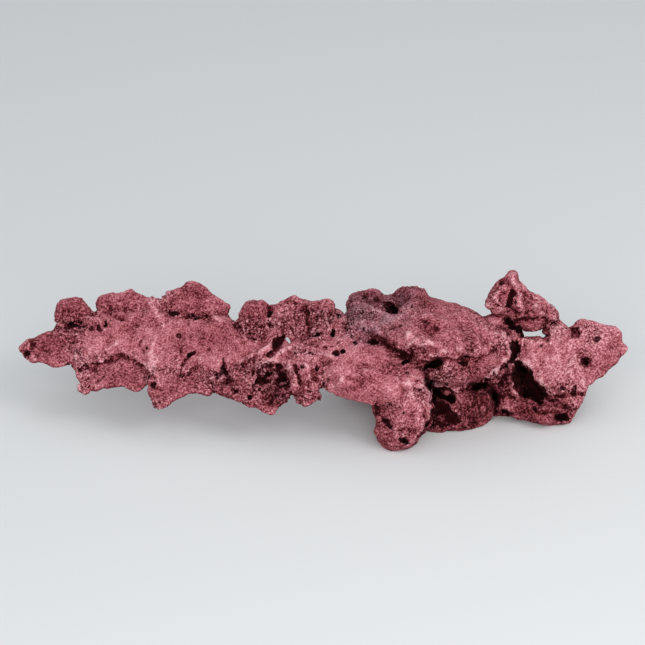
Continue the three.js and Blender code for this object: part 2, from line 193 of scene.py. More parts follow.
# What is carved in the show face, in millimetres.
# pits: u, v, half-width, half-height, turn in degrees, depth
pits = [
    # arm tip
    (-296, 4, 2.2, 3.4, -35, 5), (-248, -2.6, 4, 1.1, -3, 4), (-232, -2, 2.4, 0.9, 25, 3),
    (-249, 33, 6.5, 1.6, -28, 6), (-232, 29.5, 1.6, 2, 0, 7), (-224.5, 29.5, 1.8, 3.4, 0, 5),
    (-217.5, 34, 2.4, 5, 8, 8), (-218, 23, 1.6, 1.3, 0, 6), (-213, 37, 1.3, 3, -25, 5),
    (-204, 38, 5.5, 1.4, -12, 4), (-217.5, -4.5, 1.2, 2.4, -20, 5), (-221, -22, 1.3, 5.4, -38, 4),
    (-260, 36, 2.2, 1, -30, 4),
    # arm middle
    (-149, 44, 4, 1.4, -8, 5), (-142, 39, 2, 1.2, -20, 7), (-127, 40, 2.2, 1.4, 0, 6),
    (-117, 35, 1.2, 1, 0, 4), (-144, 22.5, 2.2, 1.3, 0, 70), (-135, 1, 1.3, 4.6, -35, 8),
    (-113, 9, 1.1, 1.1, 0, 5), (-176, 10, 1.5, 5.5, 20, 5), (-165, 19, 1.2, 1, 0, 4),
    (-168, -27, 3.4, 2.2, 30, 6), (-99, -10, 1.8, 6, 8, 5), (-111, -36, 1.5, 1.3, 0, 5),
    (-74, 24, 3.2, 1.6, 0, 4),
    # hollow slab
    (-60, -11, 1.6, 3.6, 12, 8), (-70, -27, 2.2, 1.9, 40, 6), (-72, -39.5, 1.5, 3.8, -10, 5),
    (-86, -33, 2.2, 1.5, 0, 5), (-82, -19, 1.4, 1.1, 0, 4), (-64, -13, 1.2, 1.4, 0, 5),
    (-54, -13, 4.5, 1.1, 42, 6), (-95, -26, 1.3, 6, 4, 6),
    # gap
    (-34.6, 17, 1.7, 4, 32, 60), (-25, 20, 1.6, 1.4, 0, 6), (-5.5, 22, 2.6, 2.4, 30, 8),
    (10, 25, 1.8, 3.4, -30, 8), (14.5, 15, 1.4, 1.1, 0, 5), (-14, 12.6, 3.4, 1.1, -8, 7),
    (-5, 11.5, 3.2, 1, 4, 6), (12, 6, 3.8, 2.2, -25, 7), (19.5, 7, 1.3, 1.7, 20, 60),
    (15, 43, 4.4, 3, -28, 12), (3, 25, 1.3, 1.2, 0, 4),
    # lobe
    (-20.5, -8, 2, 2.4, 20, 7), (-13.5, -33, 4, 1.1, 0, 6), (-2, -2.5, 2.6, 1.1, 5, 5),
    (-6, -10, 1.4, 2.6, 15, 5), (-2, -15, 1.9, 1.1, 20, 5), (5.5, -21, 1.7, 2, 30, 5),
    (-3, -27, 1.1, 2, -15, 4),
    # dome
    (29.6, 33.4, 2.4, 2.3, 0, 10), (40.4, 28.6, 1.4, 3, 12, 10), (32.3, 15, 2.5, 2.5, 0, 10),
    (49.4, 16, 4.6, 2.9, 8, 12), (34, 23, 1, 1, 0, 4), (81.3, -3.4, 4, 2.3, 32, 12),
    (84, -14.5, 3.2, 1, -18, 6), (104, -22, 3, 1.8, -30, 6), (87.5, 51, 1.5, 3.6, -12, 8),
    (92.5, 50.5, 2.8, 1, 10, 6), (99, 36, 5, 1.3, -6, 5), (108, 45.5, 1.4, 1.5, 0, 6),
    (109, 49.5, 1.2, 1, 0, 4), (69, 49, 3, 4.5, -30, 10), (72, 45.5, 1, 1.2, 0, 40),
    # main boulder
    (109, -5, 8.5, 3.6, 10, 16), (101, -9.5, 3.4, 2, 40, 12), (141, 1.5, 5, 1.7, -4, 9),
    (138.5, -5, 6.6, 1.6, -4, 11), (153, -3, 4, 1, 0, 7), (163, 0, 2.4, 1.1, 10, 6),
    (126, -3, 5, 0.9, -6, 7), (176, 17, 1.6, 1.4, 0, 6), (179, 13, 1.9, 1.7, 0, 7),
    (181, 8, 1.7, 2.2, 0, 7), (176.5, 9, 1.4, 1.6, 0, 6), (184, 13, 1.3, 1.8, 0, 6),
    (179, 20, 1.5, 1.4, 0, 6), (182, 3, 1.5, 1.2, 0, 6), (174, 12.5, 1.1, 1.3, 0, 5),
    (184, 7.5, 1.1, 1.5, 0, 6), (112, -16, 1.8, 1.2, 0, 5), (121, -15, 2.2, 1.3, 10, 5),
    (131, -12, 1.6, 1, 0, 5), (144, -13, 2, 1.1, 0, 5), (153, -10, 1.3, 1.2, 0, 5),
    (137, -19, 1.7, 1, 0, 5), (118, -20, 1.3, 1, 0, 4), (160, -11, 1.5, 1, 30, 5),
    # foot
    (61.6, -62, 3.4, 4.4, 20, 8), (67.4, -69.4, 2.2, 3.4, 18, 9), (80, -82, 5.4, 2.3, -10, 10),
    (79, -54, 3, 1.2, 38, 7), (71, -88, 2.4, 1.2, -20, 6), (74.5, -57.5, 1.2, 1, 0, 4),
    (103, -66, 1.6, 3, -50, 6), (92, -80, 3, 1.2, 40, 5),
    # stack
    (122, -59.5, 4.6, 1.1, 14, 8), (112, -33, 3, 3.6, 20, 10), (127, -40, 5, 2, -10, 10),
    (157, -28, 6.5, 4.2, 18, 16), (171, -39, 3.6, 6.8, 10, 14), (184, -55, 4, 2.6, -20, 9),
    (203, -39, 3.6, 4, 10, 12), (211, -50, 1.4, 8, 20, 9), (218, -43, 4, 4.4, 10, 14),
    (200, -10, 7, 4, -34, 12), (146, -63, 1.4, 1, 0, 4), (98, -84, 5, 1.1, 20, 5),
    # right end
    (187, 35, 5.4, 4.2, -30, 12), (194, 29.5, 6.4, 4.6, -42, 12), (201, 25.5, 5, 3.2, -20, 10),
    (205.5, 25.5, 2.4, 1.8, 10, 8), (215, 25, 4.4, 2.2, 20, 60), (222, 22, 3.6, 3, -40, 60),
    (252, 25, 4, 3, -20, 2), (242.5, 22, 1.5, 1.4, 0, 6), (219, 12, 1.6, 1.2, 0, 5),
    (275.4, 17.6, 3.4, 3, 0, 4), (264.5, -4.5, 2.6, 5.6, 35, 4), (252, -33, 1.6, 5, 8, 5),
    (239, -31, 1.8, 1.6, 0, 5), (236, -60, 7, 2.2, -6, 7), (227.5, 49.5, 3.2, 1.3, 24, 6),
    (203.5, 45, 1.6, 3, -10, 7), (178, 76, 3, 2.4, -40, 5), (192, 54, 1.6, 4, 5, 5),
]
# hollows: depth, width of the edge, darkness of the painted shade inside, outline
hollows = [
    # hollow slab
    (4.5, 5, 0.1, [(-58, -8), (-46, -6), (-34, -14), (-33, -28), (-45, -34), (-62, -33), (-72, -25),
        (-66, -14)]),
    (5, 1, 1, [(-49, -14), (-51, -19), (-58, -22), (-64, -25), (-73, -29), (-75, -27), (-68, -23),
        (-60, -19), (-54, -15)]),
    (2.5, 2, 0.8, [(-44, -13), (-36, -15), (-34, -25), (-40, -32), (-45, -26)]),
    # gap
    (6, 2, 0.8, [(-43, 23), (-39, 24), (-39, 14), (-41, 10), (-51, 4), (-59, 0), (-69, -3), (-58, 3),
        (-50, 9), (-49, 17)]),
    # dome
    (9, 3, 0.7, [(60, 55), (69, 59), (72, 53), (76, 48), (74, 44), (67, 47), (61, 51)]),
    # main boulder
    (6, 1.5, 0.85, [(188, 17), (197, 17), (194, 4), (188, -5), (180, -12), (170, -18), (168, -15),
        (178, -9), (185, 0), (189, 8)]),
    # foot
    (5, 2.5, 0.6, [(49, -45), (54, -44), (58, -50), (57, -59), (51, -56)]),
    # stack
    (14, 2, 1, [(108, -29), (116, -30), (119, -36), (133, -38), (133, -44), (125, -44), (118, -41),
        (111, -38), (108, -34)]),
    (8, 4, 0.45, [(108, -44), (124, -44), (139, -60), (139, -66), (117, -70), (107, -60)]),
    (14, 1.5, 1, [(168, -17), (165, -23), (164, -31), (153, -33), (146, -31), (151, -24), (158, -22)]),
    (11, 1.5, 1, [(165, -33), (171, -31), (177, -35), (178, -45), (174, -47), (170, -41)]),
    (8, 1.5, 1, [(179, -51), (186, -51), (190, -56), (184, -59)]),
    # right end
    (6.5, 1.6, 0.9, [(191, -6), (194, -3), (201, -7), (208, -15), (216, -26), (224, -35), (222, -44),
        (217, -47), (213, -41), (207, -40), (198, -40), (192, -29), (188, -17)]),
    (5, 1.5, 0.7, [(245, 32), (259, 31), (257, 20), (248, 18)]),
    (6, 3, 0.6, [(184, 49), (184, 62), (188, 68), (192, 66), (193, 56), (193, 48)]),
    (5, 1.5, 0.8, [(230, -57), (245, -56), (245, -63), (230, -62)]),
    (4, 1.5, 0.8, [(249, -30), (254, -28), (255, -39), (250, -40)]),
]
# ledges: rise of the left-hand side, width of the step, reach, line
ledges = [
    # arm tip
    (2.4, 1, 6, [(-288, 0), (-292, 8), (-294, 19)]),
    (3, 1, 6, [(-241, -9), (-228, -5), (-216, -1), (-199, 4), (-186, -1), (-175, -12)]),
    # hollow slab
    (4.5, 1.2, 8, [(-70, -14), (-60, -7), (-47, -5), (-36, -12)]),
    # gap
    (3.4, 1, 8, [(-16, 49), (-15, 38), (-13, 27)]),
    # dome
    (2.6, 1, 7, [(74, 42), (64, 45), (54, 49), (48, 53), (40, 55), (29, 56), (20, 54)]),
    # main boulder
    (2.6, 1.2, 8, [(100, -2), (115, 1), (130, 1), (147, 3), (160, 4), (170, 9)]),
    (6, 1.5, 12, [(107, -25), (119, -28), (133, -31), (143, -28), (151, -23)]),
    (5, 1.4, 8, [(163, -20), (179, -8), (187, 2), (189, 12), (184, 24)]),
    # foot
    (9, 1.6, 8, [(97, -74), (106, -61), (109, -49), (107, -27)]),
    # right end
    (5, 1.2, 9, [(201, 20), (197, 8), (191, -3)]),
    (5, 1.2, 10, [(194, -3), (201, -6), (208, -14), (216, -25), (224, -34)]),
    (3.4, 1, 6, [(190, 38), (200, 41), (215, 42), (232, 38)]), (2.4, 1, 6, [(225, 36), (226, 20)]),
]
# ridges: half-width, height, line; a groove has a negative height
ridges = [
    # arm tip
    (2.5, 2, [(-303, 9), (-299, 15), (-295, 12)]), (2, 1.5, [(-300, 0), (-295, -3)]),
    (2.2, 2.2, [(-287, -3)]), (2.2, 1.8, [(-275, -5)]), (2.4, 2, [(-263, -8), (-256, -6)]),
    (2, 2.6, [(-251, 1.5), (-247, 0.5)]), (3, -3, [(-263, 34), (-243, 31)]),
    (3, 2.4, [(-235, 41), (-228, 38), (-224, 37)]), (1.8, 2.4, [(-221, 29), (-220, 26)]),
    (3, -2, [(-208, 40), (-199, 38)]), (1.3, -3, [(-219, -15), (-222, -22), (-226, -26)]),
    (1.5, -2, [(-230, -12), (-226, -16), (-222, -17)]), (3, 1.4, [(-226, 3), (-214, 9), (-205, 14)]),
    # arm middle
    (8, 3, [(-173, -24), (-171, -2), (-168, 13)]), (3, -2.5, [(-178, 4), (-182, 13), (-177, 20)]),
    (3, -2.5, [(-158, 45), (-143, 42), (-123, 41), (-108, 37)]), (3, -4, [(-170, -27), (-163, -31)]),
    (2.6, -4, [(-99, -2), (-96, -18), (-88, -34)]), (6, 2.5, [(-84, -2), (-60, 8), (-50, 14)]),
    (2, -3, [(-130, 4), (-135, 0), (-140, -6)]), (4, 2, [(-122, 0), (-120, -14)]),
    (4, 1.8, [(-170, 54), (-162, 44), (-158, 32)]), (3, 1.5, [(-110, 46), (-104, 38)]),
    # hollow slab
    (2, 2.2, [(-62, -22), (-52, -13), (-46, -6)]), (1.8, 2, [(-78, -24), (-70, -36), (-56, -44)]),
    (2.4, -3, [(-44, -6), (-43, -13)]), (2, -2.4, [(-46, -30), (-52, -44)]),
    (2.5, 2, [(-86, -28), (-76, -40), (-64, -46)]),
    # gap
    (4, 3.4, [(-31, 11), (-43, 6), (-55, -2), (-60, -10)]), (4, 2.6, [(-25, 8), (-8, 6), (10, 0)]),
    (2, -4, [(-55, 52), (-53, 38), (-49, 28)]), (2, -2.4, [(-22, 14), (-10, 12), (2, 11)]),
    (2.4, 3, [(-6, 47), (-4, 44)]), (2.4, 3, [(3, 40), (5, 38)]), (2.4, 3, [(-9, 34), (-6, 32)]),
    (2.4, 2.6, [(7, 31), (6, 29)]), (3, 2.4, [(-48, 38), (-42, 36)]), (1.4, -2.6, [(0, 48), (1, 34)]),
    (3, 3, [(-12, 26), (-11, 30)]),
    # lobe
    (2.8, 4.4, [(-33, -4), (-30.5, -17), (-28, -34)]), (2.2, -3, [(-26, -8), (-25, -22), (-22, -34)]),
    (3.4, 2.6, [(-17, -6), (-13, -20), (-11, -40)]), (2, -2.4, [(-8, -14), (-6, -27)]),
    (6, -2.5, [(34, -11)]), (7, 2.4, [(15, -14), (24, -30)]),
    # dome
    (1.6, 1.8, [(21, 55), (30, 57), (40, 56), (48, 54), (54, 50), (64, 46), (74, 43)]),
    (3, -5, [(55, 58), (63, 51), (71, 46)]), (7, -4, [(44, 22), (57, 19), (69, 8), (87, 3), (100, 4)]),
    (1.2, -1.8, [(52, 27), (62, 30), (74, 31), (79, 33)]), (3, 3, [(90, 42), (102, 40)]),
    (3.5, -3, [(103, 33), (112, 26)]), (4, -2, [(71, 60), (74, 54)]),
    # main boulder
    (6, 5, [(87, 22), (96, 14), (104, 16)]), (6, 3.6, [(106, 14), (122, 8), (138, 10)]),
    (3, 2.6, [(117, 6), (137, 5.5), (155, 7), (169, 13)]),
    (3, 3, [(178, 24), (186, 12), (185, 2), (176, -9), (162, -19)]),
    (5, 2.5, [(72, -22), (92, -27), (107, -32)]), (3.4, 2.4, [(84, 18), (88, 14)]),
    # foot
    (3, -3, [(58, -60), (66, -68), (70, -72)]), (2.5, -2.4, [(64, -76), (77, -74), (94, -72)]),
    (5, 2.6, [(88, -36), (96, -50), (94, -62)]), (2.4, 2, [(83, -88), (96, -82), (104, -74)]),
    # stack
    (1.6, 3, [(112, -62), (121, -57), (130, -57)]),
    (1.8, 2.4, [(119, -34), (124, -46), (139, -62), (147, -71)]), (9, 3, [(154, -48)]),
    (1.6, 3, [(171, -12), (180, -17), (188, -24), (195, -38)]),
    (1.5, -2.6, [(170, -17), (179, -23), (186, -31), (190, -42)]),
    (1.6, 3, [(168, -24), (178, -29), (184, -38), (186, -48)]),
    (1.6, 2.6, [(176, -50), (188, -50), (198, -46)]), (1.8, 2.4, [(196, -20), (204, -32), (208, -42)]),
    (1.6, 2.2, [(192, -14), (198, -26)]),
    # right end
    (3, 2.6, [(200, 19), (196, 8), (193, 0), (203, -6), (212, -17), (221, -30)]), (15, -2.2, [(236, -4)]),
    (3, 1.8, [(203, 18), (216, 14), (236, 16)]), (2, -3, [(259, 2), (266, -8), (272, -10)]),
    (2, -3, [(225, -37), (239, -39), (252, -36), (260, -38)]), (2.4, 3, [(226, -31), (232, -35)]),
    (2.4, 3, [(239, -34), (243, -33)]), (1.8, 2, [(268, -24), (263, -34), (259, -46), (250, -62)]),
    (1.6, 2, [(204, -49), (222, -50), (250, -54)]), (3, 2.6, [(189.5, 82), (190, 78)]),
    (4, 4, [(190, 76), (195, 66), (198, 54), (198, 44)]), (3, -3, [(179, 79), (184, 75)]),
    (3.4, 2.6, [(195, 74), (206, 66), (220, 58), (232, 48)]), (3, 3, [(212, 52)]), (3, 2.6, [(222, 55)]),
    (2.4, 2.4, [(232, 44)]), (3, -2.6, [(218, 48), (225, 46)]), (3.4, 3, [(170, 60), (176, 66)]),
    (3, 2.6, [(163, 55), (168, 52)]),
]
# ribs: u, v, half-width, half-height, turn in degrees, spacing, height
ribs = [
    # lobe
    (-17, -20, 16, 22, -82, 5, 1.6),
    # dome
    (43, 64, 18, 7, 85, 2.6, 0.7), (84, 64, 14, 7, 60, 3, 0.8), (40, -20, 40, 20, -30, 5, 0.5),
    # stack
    (182, -28, 18, 24, -50, 3.2, 2.4), (152, -52, 16, 20, -75, 3, 2), (125, -55, 20, 14, -40, 3.5, 2.4),
    (205, -24, 14, 18, -60, 3, 2.4), (130, -22, 30, 7, 8, 3, 1.8), (170, 8, 16, 14, -60, 3.4, 1.2),
    # right end
    (235, -55, 20, 9, -4, 3.6, 1.6), (200, 50, 18, 20, -35, 5, 1.4),
]


pitShape = {  # the lumps' sizes and places are shares of the pit's own size
    "large": (0.92, (-0.12, 0.1)), "small": ((0.6, (0.5, 0.5)), (0.6, (0.55, -0.45))),
    "ragged": 0.9, "raggedSize": 0.55, "apart": 7.7, "spare": 0.2, "above": 300, "voxel": 0.6 * mm,
}


def pitTool(tree):  # one mesh of all the pits, each a large and a small ragged lump sunk into the skin
    verts, faces = [], []
    for seed, (u, v, wide, high, turn, deep) in enumerate(pits):
        hit = tree.ray_cast(onFace(u, v, pitShape["above"]), -outOfFace)[0]
        centre = hit if hit is not None else onFace(u, v)
        angle = math.radians(turn)
        size = (wide + pitShape["spare"], high + pitShape["spare"], deep)
        for share, shift in (pitShape["large"], pitShape["small"][seed % 2]):
            lump = bmesh.new()
            bmesh.ops.create_icosphere(lump, subdivisions=3, radius=share)
            points = np.array([vert.co for vert in lump.verts])
            ragged = lumps(points + seed * pitShape["apart"], pitShape["raggedSize"], 300)
            points *= 1 + pitShape["ragged"] * ragged[:, None]
            points[:, :2] += shift
            first = len(verts)
            for x, y, z in points * size:
                right = x * math.cos(angle) - y * math.sin(angle)
                up = x * math.sin(angle) + y * math.cos(angle)
                verts.append(centre + (alongFace * right + upFace * up + outOfFace * z) * mm)
            faces += [[first + vert.index for vert in side.verts] for side in lump.faces]
            lump.free()
    mesh = bpy.data.meshes.new("pits")
    mesh.from_pydata(verts, [], faces)
    obj = newObject("pits", mesh)
    remesh(obj, pitShape["voxel"])
    return obj


def cut(obj, tool):
    modifier = obj.modifiers.new("pits", "BOOLEAN")
    modifier.operation = "DIFFERENCE"
    modifier.solver = "MANIFOLD"
    modifier.object = tool
    applied(obj)


def alongLine(spots, line):  # how far each spot is from the line, and on which side: 1 for left
    line = np.array(line if len(line) > 1 else [line[0], (line[0][0] + 0.1, line[0][1])], float)
    gap = np.full(len(spots), 1e9)
    side = np.zeros(len(spots))
    for start, end in zip(line[:-1], line[1:]):
        run = end - start
        share = np.clip((spots - start) @ run / (run @ run), 0, 1)
        off = spots - start - share[:, None] * run
        away = np.linalg.norm(off, axis=1)
        nearer = away < gap
        side = np.where(nearer, np.sign(run[0] * off[:, 1] - run[1] * off[:, 0]), side)
        gap = np.where(nearer, away, gap)
    return gap, side


def depthInside(spots, outline):  # distance from the outline, negative outside it
    gap = alongLine(spots, outline + outline[:1])[0]
    inside = np.zeros(len(spots), bool)
    for (fromU, fromV), (toU, toV) in zip(outline, outline[1:] + outline[:1]):
        if fromV != toV:
            level = (spots[:, 1] < fromV) != (spots[:, 1] < toV)
            at = fromU + (spots[:, 1] - fromV) * (toU - fromU) / (toV - fromV)
            inside ^= level & (spots[:, 0] < at)
    return np.where(inside, gap, -gap)


def nearLine(spots, line, reach):
    line = np.array(line, float)
    return np.all((spots > line.min(0) - reach) & (spots < line.max(0) + reach), axis=1)


def bell(gap, width):
    return np.exp(-((gap / width) ** 2))


strokes = {  # how the face's lines are drawn on the rock, in shares of their own sizes and in millimetres
    # pale is painted highlight along crests, ribs and ledge lips; the negative pale at a ledge's foot is
    # painted shade
    "ridge": {"reach": 3, "height": 1.15, "width": 0.85, "pale": 0.2, "paleWidth": 0.7, "paleMost": 2.4},
    "ledge": {"reach": 2.5, "rise": 0.65, "width": 0.7, "paleMost": 5},
    "lip": {"off": 0.8, "width": 1.8, "pale": 0.2},
    "foot": {"off": 1.2, "width": 2.4, "pale": -0.3},
    "rib": {"reach": 2.2, "stretch": 7, "sharp": 3.4, "pale": 0.3, "seed": 401},
    "hollow": {"reach": 2, "rim": -0.5, "mottle": 0.5, "mottleSize": 6 * mm},
    "uneven": 0.8, "unevenSize": 8 * mm,
    "wander": ((11 * mm, 2.6, 71), (4 * mm, 1.2, 81)),  # size, distance in millimetres, seed
    "open": (0, 0.35),  # how far a face turns outwards before it is carved, and before it is carved in full
}


def wandered(spots, points):  # keeps the drawn lines from running straight
    wander = [
        sum(lumps(points, size, seed + axis) * away for size, away, seed in strokes["wander"])
        for axis in (0, 1)
    ]
    return spots + np.stack(wander, axis=1)


def carved(points):  # each point's push towards the viewer's side, the painted shade inside hollows, and the painted highlight on crests, ribs and ledge lips, with painted shade at ledge feet
    spots = wandered(faceSpots(points), points)
    uneven = 1 + strokes["uneven"] * lumps(points, strokes["unevenSize"], 75)
    push, dark, pale = np.zeros((3, len(points)))
    ridge, ledge, lip, foot = (strokes[kind] for kind in ("ridge", "ledge", "lip", "foot"))
    rib, hollow = strokes["rib"], strokes["hollow"]
    for width, height, line in ridges:
        near = nearLine(spots, line, ridge["reach"] * width)
        gap = alongLine(spots[near], line)[0]
        paleWidth = min(ridge["paleWidth"] * width, ridge["paleMost"])
        push[near] += ridge["height"] * height * uneven[near] * bell(gap, ridge["width"] * width)
        pale[near] += ridge["pale"] * height * uneven[near] * bell(gap, paleWidth)
    for rise, width, reach, line in ledges:
        near = nearLine(spots, line, ledge["reach"] * reach)
        gap, side = alongLine(spots[near], line)
        step = np.tanh(side * gap / (ledge["width"] * width))
        push[near] += ledge["rise"] * rise * uneven[near] * step * bell(gap, reach)
        above = lip["pale"] * bell(gap - lip["off"], lip["width"])
        below = foot["pale"] * bell(gap - foot["off"], foot["width"])
        pale[near] += min(rise, ledge["paleMost"]) * uneven[near] * np.where(side > 0, above, below)
    for u, v, wide, high, turn, spacing, height in ribs:
        around = spots - np.array((u, v))
        near = np.all(np.abs(around) < rib["reach"] * max(wide, high), axis=1)
        along = np.array((math.cos(math.radians(turn)), math.sin(math.radians(turn))))
        across = np.array((-along[1], along[0]))
        place = np.zeros((near.sum(), 3))
        place[:, 0] = around[near] @ along / rib["stretch"]
        place[:, 1] = around[near] @ across
        weight = np.exp(-((around[near] / np.array((wide, high))) ** 2).sum(1))
        crest = 1 - rib["sharp"] * np.abs(lumps(place, spacing, rib["seed"] + int(spacing * 10)))
        push[near] += height * weight * crest
        pale[near] += rib["pale"] * weight * crest
    for deep, edge, darkness, outline in hollows:
        near = nearLine(spots, outline, hollow["reach"])
        weight = eased(depthInside(spots[near], outline), hollow["rim"], edge)
        mottled = 1 + hollow["mottle"] * lumps(points[near], hollow["mottleSize"], 77)
        push[near] -= deep * weight
        dark[near] = np.maximum(dark[near], darkness * weight * mottled)
    return push, dark, pale


def sculpt(mesh):  # carves the open faces
    points = meshPoints(mesh)
    facing = eased(meshNormals(mesh) @ np.array(outOfFace), *strokes["open"])
    shown = facing > 0
    push = carved(points[shown])[0] * facing[shown]
    points[shown] += np.array(outOfFace) * push[:, None] * mm
    moveTo(mesh, points)


# where the mauve dust lies: u, v, half-sizes, amount
dust = [
    (30, 47, 16, 13, 1), (62, 38, 28, 13, 1), (76, 56, 15, 9, 0.7), (42, 24, 14, 10, 0.8),
    (45, 62, 20, 8, 0.6), (84, 66, 18, 8, 0.5), (-52, -38, 18, 10, 0.15),
]

# where the coat is paler, or darker where the amount is negative; besides the coat's own tone this holds
# painted shade in recesses and under overhangs and painted light on faces turned to the lamps: u, v,
# half-sizes, amount
toneWithPaintedLight = [
    (30, 47, 16, 13, -0.2), (62, 38, 28, 13, 0.1), (76, 56, 15, 9, -0.35), (45, 62, 20, 8, -0.8),
    (84, 66, 18, 8, -1), (106, 28, 13, 12, -0.8), (48, 9, 12, 9, -0.7), (70, -10, 15, 9, -1.2),
    (100, 16, 20, 10, 0.4), (35, -16, 24, 12, -0.4), (100, -36, 22, 12, 0.9), (80, -68, 14, 10, 0.4),
    (58, -60, 8, 12, -0.6), (130, -70, 24, 7, -0.9), (130, -50, 24, 14, -0.4), (160, -38, 10, 10, -2),
    (188, -12, 8, 8, -0.5), (182, -30, 16, 24, -0.5), (218, -52, 24, 9, -1.3), (112, -25, 18, 6, 1.3),
    (240, 0, 26, 24, 0.9), (206, -2, 12, 12, 1), (218, 22, 14, 9, 1.2), (232, 34, 8, 8, 1),
    (276, 26, 16, 14, 0.8), (258, -30, 8, 14, 0.7), (250, -58, 8, 8, 0.6), (266, -8, 6, 8, -0.4),
    (174, 50, 9, 10, 0.7), (184, 24, 14, 10, 0.3), (186, 62, 9, 12, -0.5), (-270, 22, 20, 14, -0.5),
    (-285, 12, 18, 12, -0.35), (-247, 52, 18, 12, -0.8), (-205, 33, 28, 11, -0.7), (-200, 58, 26, 7, -0.2),
    (-168, 54, 15, 8, 1), (-120, 46, 20, 9, 0.4), (-130, 68, 24, 10, -0.7), (-104, 24, 20, 13, -0.9),
    (-140, 8, 9, 18, -0.6), (-228, 3, 28, 8, 0.7), (-242, -16, 7, 14, 0.9), (-205, -18, 28, 10, -0.5),
    (-171, -14, 16, 9, 0.9), (-152, -14, 12, 8, 0.4), (-138, -27, 16, 9, -0.5), (-112, -15, 12, 8, 0.3),
    (-95, -28, 8, 9, -0.9), (-70, 48, 12, 12, -0.8), (-52, 42, 8, 9, 0.7), (-45, -12, 20, 7, 0.8),
    (-52, -38, 18, 10, -1.1), (-9, 30, 12, 9, 0.6), (22, 26, 10, 6, 0.6), (0, -20, 14, 12, 0.3),
    (-30, 16, 20, 8, -0.5), (-15, 3, 24, 5, 0.7), (8, -28, 10, 8, 0.6), (-300, 6, 5, 8, 0.6),
    (57, 28, 8, 14, 0.5), (67, -45, 9, 8, 0.5), (270, -21, 10, 5, 0.7), (145, 18, 14, 12, -0.4),
    (102, 55, 16, 6, -0.7), (16, 45, 6, 8, -0.9), (142, -13, 10, 7, -0.8), (140, -48, 10, 8, -0.6),
    (200, 48, 9, 8, -0.6), (-140, 38, 10, 6, -0.4), (0, 15, 20, 5, -0.4), (152, -54, 18, 14, -0.5),
    (114, -66, 12, 10, -0.3), (238, -4, 20, 16, 0.4), (275, 20, 12, 12, 0.3), (-272, 14, 26, 16, -0.25),
    (82, -60, 12, 14, 0.3), (158, -16, 16, 6, -0.6), (215, -46, 16, 8, -0.4), (-128, 21, 12, 8, -0.45),
    (-92, 10, 12, 7, -0.3), (-176, 34, 12, 8, -0.3), (30, -22, 12, 7, -0.3),
]

# where the stones swell further and close a chink: u, v, reach, amount
fills = [(-241.5, 1.5, 6, 3)]

# broken, knobbly areas, and smooth ones where the amount is negative: u, v, half-sizes, amount
rubble = [
    (-226, 34, 14, 9, 0.7), (-140, 38, 34, 8, 0.8), (-96, 30, 12, 10, 0.5), (-240, -10, 11, 10, 0.9),
    (-62, -22, 26, 20, 0.6), (-4, 38, 14, 14, 1), (-8, 13, 26, 5, 0.7), (-60, 30, 12, 14, 0.8),
    (-14, -38, 14, 10, 0.7), (68, 48, 12, 8, 0.4), (98, 48, 10, 8, 0.5), (130, -14, 40, 9, 0.6),
    (178, 12, 8, 12, 0.9), (80, -76, 20, 12, 0.6), (205, 52, 26, 20, 0.3), (262, 0, 8, 12, 0.6),
    (240, -30, 20, 8, 0.8), (-297, 4, 6, 12, 0.7), (-152, 2, 20, 16, 0.6), (-108, -24, 20, 12, 0.8),
    (-190, 26, 10, 10, 0.6), (8, -20, 14, 14, 0.4), (190, 6, 8, 18, -1), (172, 38, 14, 10, -0.8),
    (225, 12, 18, 8, -0.6), (196, 34, 12, 8, -0.6), (45, -10, 26, 16, 0.15), (150, -50, 12, 14, -0.5),
    (-130, 55, 24, 14, -0.5), (60, 32, 18, 11, -0.8), (-275, 15, 22, 12, -0.7), (-128, 20, 13, 9, 0.6),
    (-92, 8, 14, 8, 0.5), (-60, 18, 14, 6, 0.4), (-175, 34, 14, 8, 0.3), (30, -24, 14, 7, 0.3),
]


def painted(spots, areas):
    total = np.zeros(len(spots))
    for u, v, wide, high, amount in areas:
        total += amount * np.exp(-(((spots[:, 0] - u) / wide) ** 2 + ((spots[:, 1] - v) / high) ** 2))
    return total


def tinted(points):  # the mauve, the painted tone with its painted shade and light, and the brokenness at each point
    spots = faceSpots(points)
    mauve = np.clip(painted(spots, dust), 0, 1)
    return mauve, painted(spots, toneWithPaintedLight), np.clip(painted(spots, rubble), -1, 1.2)


print("helpers ready")

# The stones. "even" is how often the rough stone is smoothed where it isn't twice, and "voxel" is the size of
# its own fine mesh, in millimetres.
stones = {
    "main_boulder": {"slot": "boulder", "even": 8},
    "dome_rock": {"slot": "mauve_boulder", "even": 10},
    "foot_boulder": {"slot": "boulder", "even": 8},
    "middle_rock": {"slot": "boulder", "even": 7},
    "layered_rock": {"slot": "boulder", "even": 6},
    "back_boulder": {"slot": "boulder", "even": 8, "voxel": 1.3},
    "prop_rock": {"slot": "boulder", "even": 6, "voxel": 1.3},
    "tip_slab": {"slot": "slab"},
    "round_slab": {"slot": "slab"},
    "rear_slab": {"slot": "slab"},
    "peak_slab": {"slot": "slab"},
    "rear_block": {"slot": "slab"},
    "rear_middle_slab": {"slot": "slab"},
    "front_slab": {"slot": "slab"},
    "front_point_slab": {"slot": "slab"},
    "hollow_slab": {"slot": "slab"},
    "ribbed_lobe": {"slot": "slab", "even": 3},
    "spire_rock": {"slot": "slab"},
    "knuckle_rock": {"slot": "slab"},
    "wing_slab": {"slot": "slab"},
    "skirt_slab": {"slot": "slab"},
    "arm_mortar": {"slot": "mortar", "even": 10},
    "neck_mortar": {"slot": "mortar", "even": 6},
}
skin = {
    "voxel": 1.5 * mm, "fine": 0.97, "blend": 2,
    "swell": 1.0, "mortarSwell": 1.8,
    "deep": (2.5, 5.0),  # from the first depth to the second, points stay more and more where they are
}


